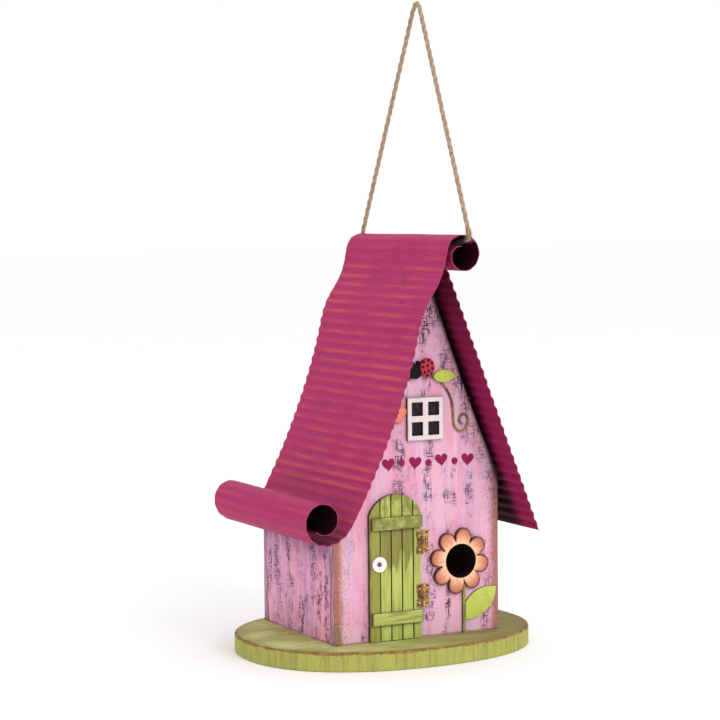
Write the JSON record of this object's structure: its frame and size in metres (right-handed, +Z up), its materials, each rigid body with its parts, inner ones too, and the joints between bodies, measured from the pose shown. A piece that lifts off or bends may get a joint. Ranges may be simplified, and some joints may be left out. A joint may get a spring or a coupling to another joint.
{
  "type": "birdhouse",
  "caption": "Gabled wooden birdhouse on an oval base, with a rolled corrugated metal roof, a hinged plank door, a round entrance and a rope hanger.",
  "frame": {"origin": "centre of the base board's flat underside", "axes": "+Z up, -Y towards the front wall with the door, +X to the right seen from the front"},
  "size_m": [0.2414, 0.193, 0.5152],
  "materials": {
    "green_base_wood": "brushed olive paint, worn brown at the top edge",
    "pink_front_wood": "dry-brushed pink paint with dark streaks and worn edges",
    "pink_side_wood": "dry-brushed lavender pink paint with dark streaks",
    "zinc_steel": "zinc plated",
    "painted_over_brads": "painted over with the wall",
    "magenta_roof": "semi-gloss magenta with brushed orange highlights",
    "magenta_roof_nails": "painted over with the roof",
    "peach_flower_wood": "peach paint shaded to red-brown rims",
    "leaf_green_wood": "matt lime green paint",
    "white_wood": "matt white paint",
    "black_panel": "matt black paint",
    "vine_metal": "olive and gold paint on wire",
    "ladybird_red": "satin red paint with black spots",
    "ladybird_black": "satin black paint",
    "hinge_brass": "antiqued stamped brass",
    "jute_rope": "twisted jute twine",
    "green_door_wood": "olive green stain, darker in the joints",
    "knob_white": "glossy white bead",
    "knob_pin_wood": "brown stained peg"
  },
  "bodies": {
    "house": {"base_board": "green_base_wood", "front_wall": "pink_front_wood", "back_wall": "pink_front_wood", "left_wall": "pink_side_wood", "right_wall": "pink_side_wood", "base_screws": "zinc_steel", "wall_brads": "painted_over_brads", "left_roof_sheet": "magenta_roof", "right_roof_sheet": "magenta_roof", "roof_nails": "magenta_roof_nails", "flower_petals": "peach_flower_wood", "flower_stem": "leaf_green_wood", "flower_leaf": "leaf_green_wood", "window_frame": "white_wood", "window_panel": "black_panel", "vine_wire": "vine_metal", "vine_leaf": "leaf_green_wood", "ladybird_body": "ladybird_red", "ladybird_head": "ladybird_black", "small_flower": "peach_flower_wood", "small_flower_centre": "ladybird_black", "upper_hinge_wall_leaf": "hinge_brass", "lower_hinge_wall_leaf": "hinge_brass", "upper_hinge_pin": "hinge_brass", "lower_hinge_pin": "hinge_brass", "hinge_wall_nails": "hinge_brass", "hanger_rope": "jute_rope", "rope_in_scroll": "jute_rope", "rope_knot": "jute_rope"},
    "door": {"door_plank_1": "green_door_wood", "door_plank_2": "green_door_wood", "door_plank_3": "green_door_wood", "door_plank_4": "green_door_wood", "door_plank_5": "green_door_wood", "door_upper_batten": "green_door_wood", "door_lower_batten": "green_door_wood", "door_knob": "knob_white", "door_knob_pin": "knob_pin_wood", "upper_hinge_door_leaf": "hinge_brass", "lower_hinge_door_leaf": "hinge_brass", "hinge_door_nails": "hinge_brass"}
  },
  "joints": [
    {"name": "door_hinge", "type": "hinge", "parent": "house", "child": "door", "pos_m": [0.0069, -0.0576, 0.069], "axis": [0, 0, 1], "range_deg": [0, 120]}
  ]
}
